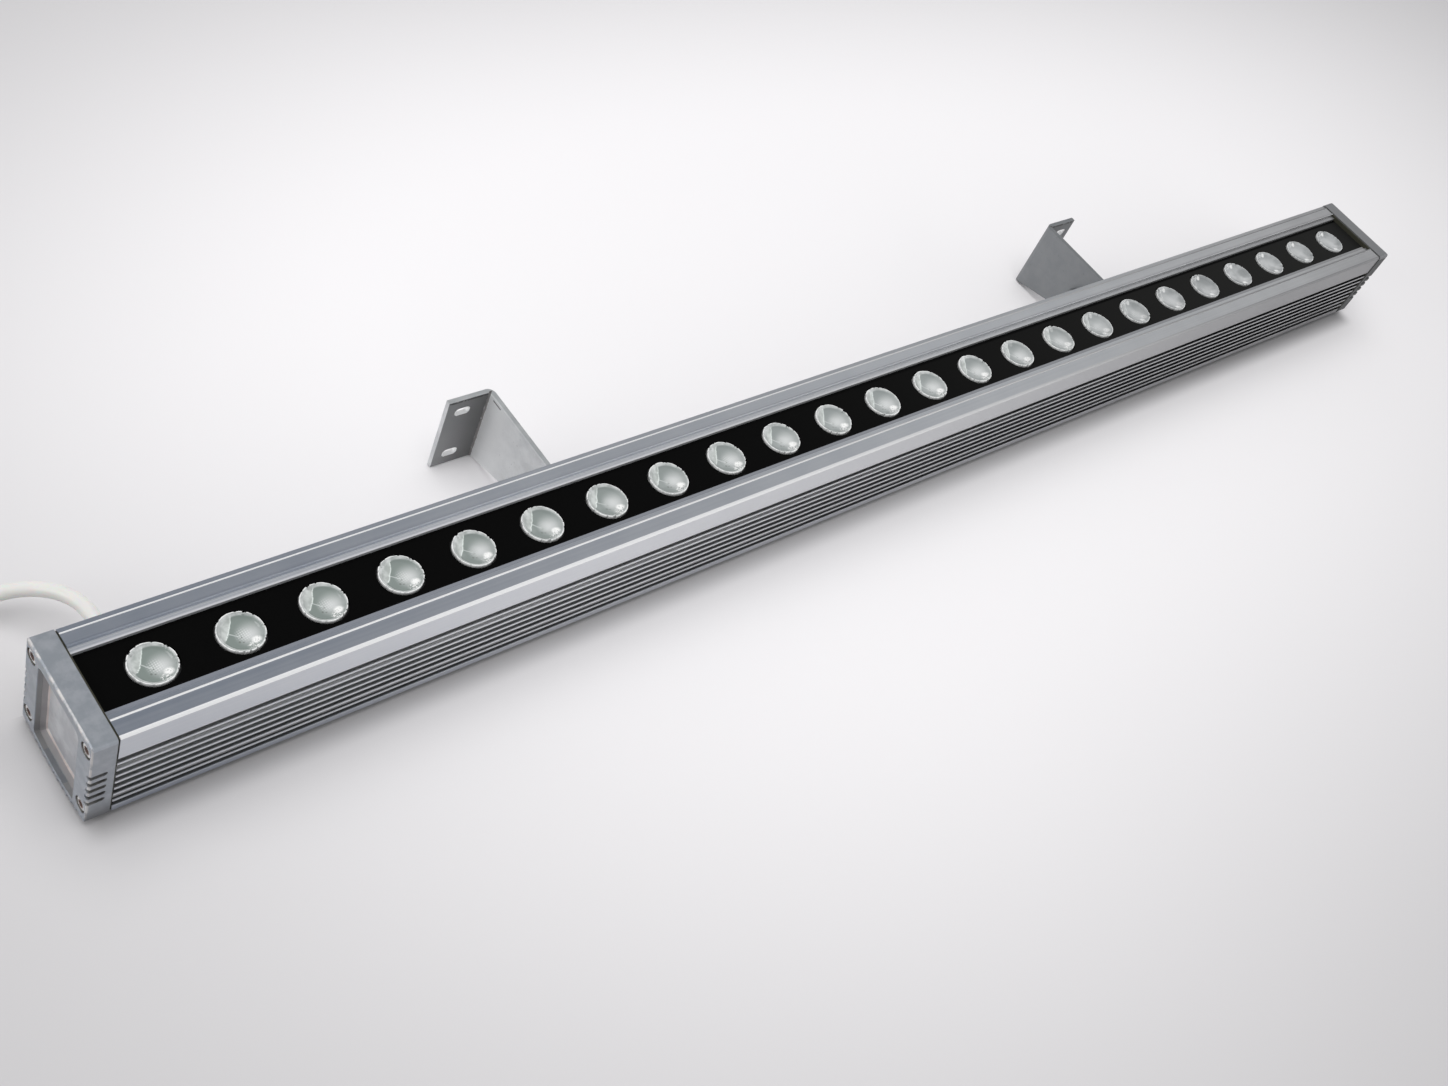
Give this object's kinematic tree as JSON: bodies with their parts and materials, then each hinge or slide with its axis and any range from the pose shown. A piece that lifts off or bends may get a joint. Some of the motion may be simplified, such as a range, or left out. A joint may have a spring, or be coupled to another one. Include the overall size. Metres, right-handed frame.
{
  "type": "wall washer light",
  "caption": "Long slim outdoor wall washer light: finned extrusion, row of lenses under a black strip, cast end caps, side cable gland with coiled lead, two tilting wall brackets.",
  "frame": {"origin": "middle of the lamp's length and of its depth from the near side to the wall plane, on the surface that it lies on", "axes": "X along the lamp, +Y from the lamp to the wall, +Z the way the light leaves"},
  "size_m": [1.1166, 0.122, 0.061],
  "materials": {
    "anodised_extrusion": "satin anodised extrusion with fine die lines along the lamp",
    "cast_cap": "die-cast aluminium with a thin grey coat, pocket left as cast",
    "black_rubber": "matt black rubber",
    "stainless_screw": "stainless steel",
    "white_board": "white solder resist on an aluminium board",
    "emitter_silicone": "yellow silicone dome",
    "black_plastic": "black moulded plastic",
    "clear_lens": "clear moulded acrylic lens, textured eye, notched bright rim",
    "black_cover": "matt black strip",
    "tray_plastic": "white moulded plastic",
    "green_board": "green solder resist",
    "ferrite_and_tape": "dark ferrite and tape",
    "copper_winding": "lacquered copper",
    "capacitor_sleeve": "dark blue sleeve",
    "terminal_plastic": "green moulded plastic",
    "wire_sheath": "coloured insulation",
    "plated_brass": "nickel-plated brass, dull, with a warm cast",
    "cable_sheath": "milky translucent sheath",
    "connector_plastic": "black nylon",
    "pin_brass": "brass pins",
    "bracket_steel": "zinc-grey steel with light handling marks",
    "nylon_washer": "natural nylon"
  },
  "bodies": {
    "lamp": {"housing": "anodised_extrusion", "end_cap_left": "cast_cap", "end_cap_right": "cast_cap", "gasket_left": "black_rubber", "gasket_right": "black_rubber", "cap_screws_left": "stainless_screw", "cap_screws_right": "stainless_screw", "light_board": "white_board", "board_screws": "stainless_screw", "emitters": "emitter_silicone", "lens_holders": "black_plastic", "lenses": "clear_lens", "cover_strip": "black_cover", "driver_tray": "tray_plastic", "driver_board": "green_board", "driver_transformer": "ferrite_and_tape", "driver_coils": "copper_winding", "driver_capacitors": "capacitor_sleeve", "driver_terminals": "terminal_plastic", "supply_cores": "wire_sheath", "light_leads": "wire_sheath", "gland_washer": "black_rubber", "gland_body": "plated_brass", "gland_seal": "black_rubber", "gland_nut": "plated_brass", "gland_lock_nut": "plated_brass", "cable_inner": "cable_sheath", "cable": "cable_sheath", "cable_coil": "cable_sheath", "connector": "connector_plastic", "connector_pins": "pin_brass", "pivot_clip_left": "bracket_steel", "clip_screws_left": "stainless_screw", "pivot_bolt_left": "stainless_screw", "steel_washers_left": "stainless_screw", "friction_washer_left": "nylon_washer", "pivot_nut_left": "stainless_screw", "pivot_clip_right": "bracket_steel", "clip_screws_right": "stainless_screw", "pivot_bolt_right": "stainless_screw", "steel_washers_right": "stainless_screw", "friction_washer_right": "nylon_washer", "pivot_nut_right": "stainless_screw"},
    "bracket_left": {"wall_bracket_left": "bracket_steel"},
    "bracket_right": {"wall_bracket_right": "bracket_steel"}
  },
  "joints": [
    {"name": "bracket_left_tilt", "type": "hinge", "parent": "lamp", "child": "bracket_left", "pos_m": [-0.23, 0.013, 0.024], "axis": [1, 0, 0], "range_deg": [-75, 10]},
    {"name": "bracket_right_tilt", "type": "hinge", "parent": "lamp", "child": "bracket_right", "pos_m": [0.23, 0.013, 0.024], "axis": [1, 0, 0], "range_deg": [-75, 10]}
  ]
}
